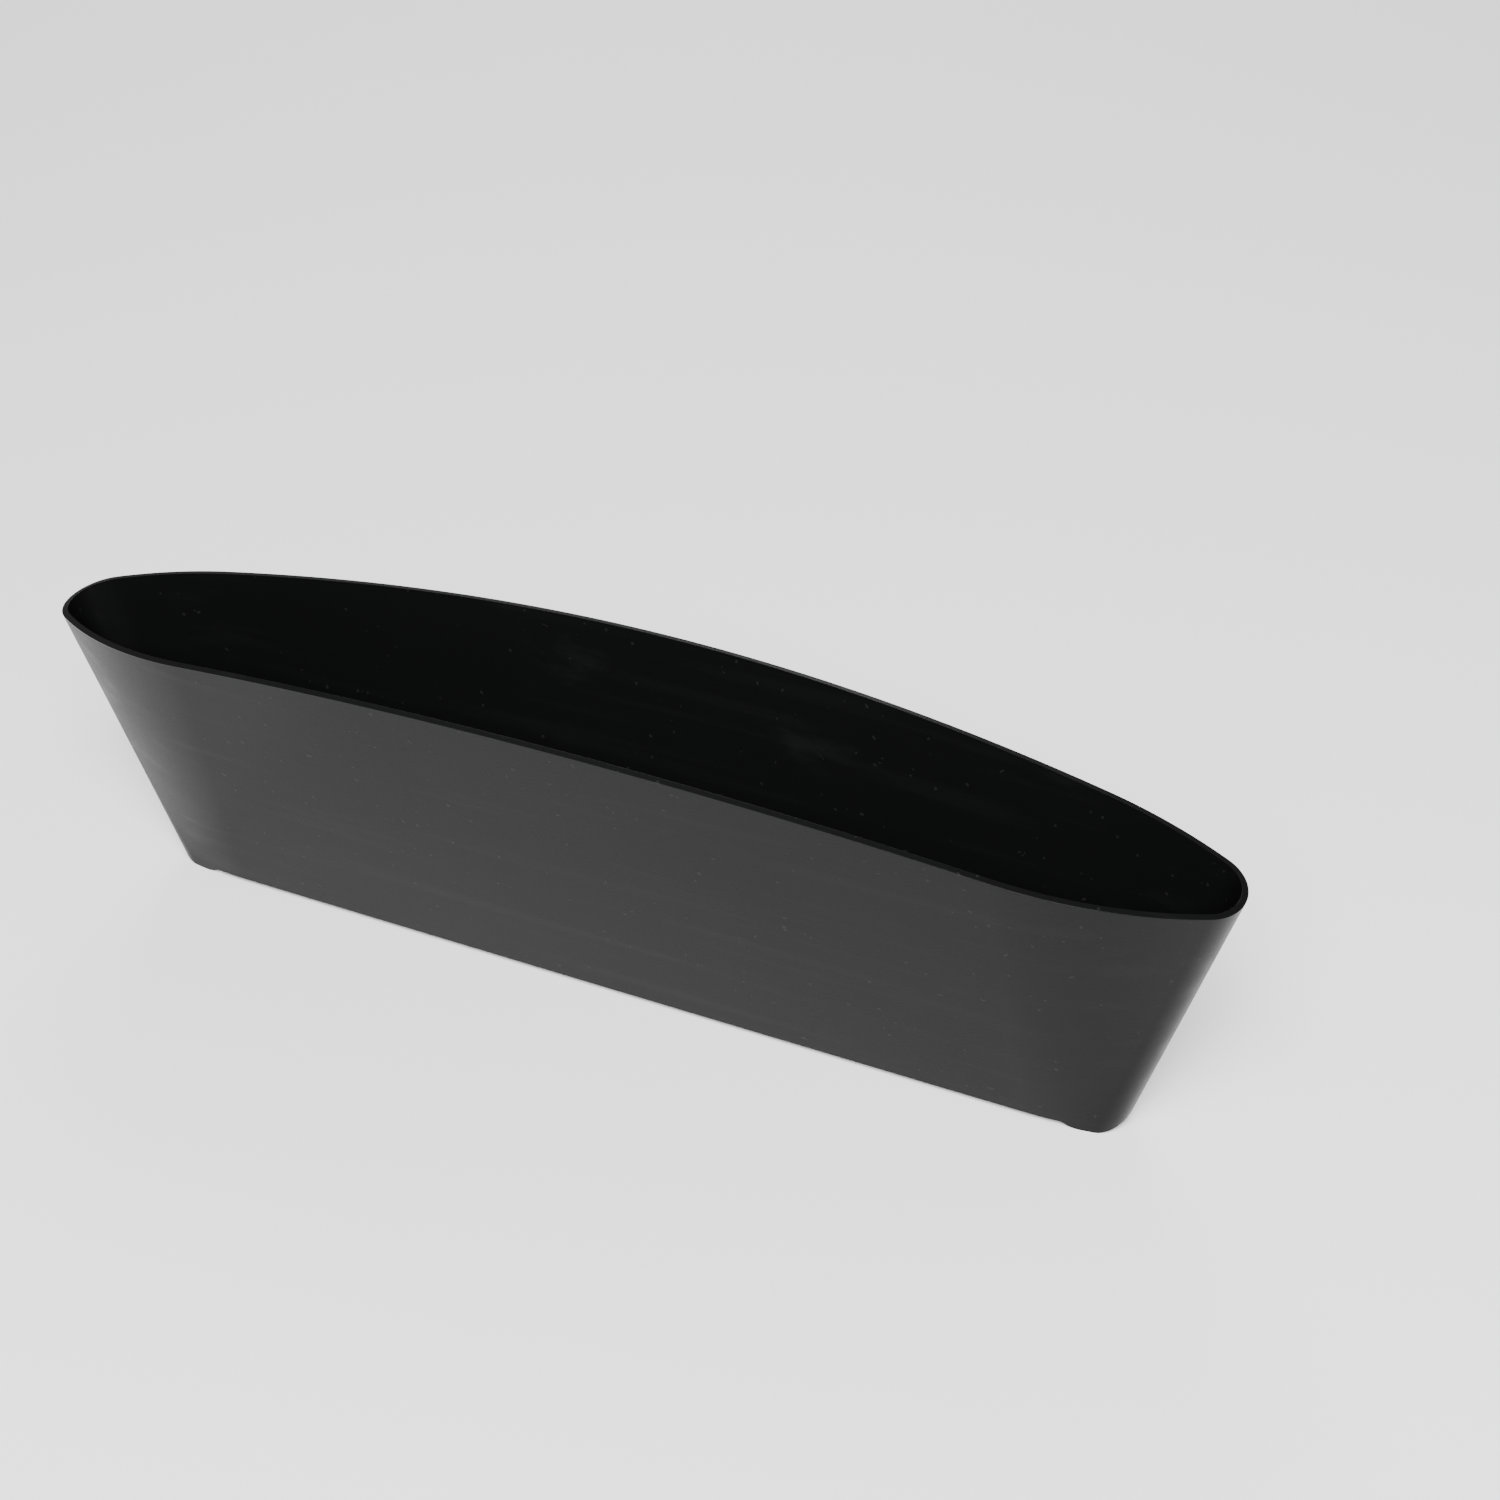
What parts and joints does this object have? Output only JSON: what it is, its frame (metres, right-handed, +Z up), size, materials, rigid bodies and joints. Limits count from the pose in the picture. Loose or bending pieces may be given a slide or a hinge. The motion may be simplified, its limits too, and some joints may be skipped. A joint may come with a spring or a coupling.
{
  "type": "seat gap pocket",
  "caption": "Slim open-topped catch-all pocket in thin black moulded plastic, with leaning walls and a crowned rim, that wedges between a car seat and the centre console.",
  "frame": {"origin": "on the ground at mid-length, midway across the widest part of the rim", "axes": "+X along the pocket, -Y towards the flatter long wall, +Y towards the rounder long wall, +Z up through the open top"},
  "size_m": [0.3646, 0.0608, 0.1055],
  "materials": {
    "black_plastic": "satin, fine moulded texture, slightly shinier on the lip"
  },
  "bodies": {
    "root": {"pocket_shell": "black_plastic"}
  },
  "joints": []
}
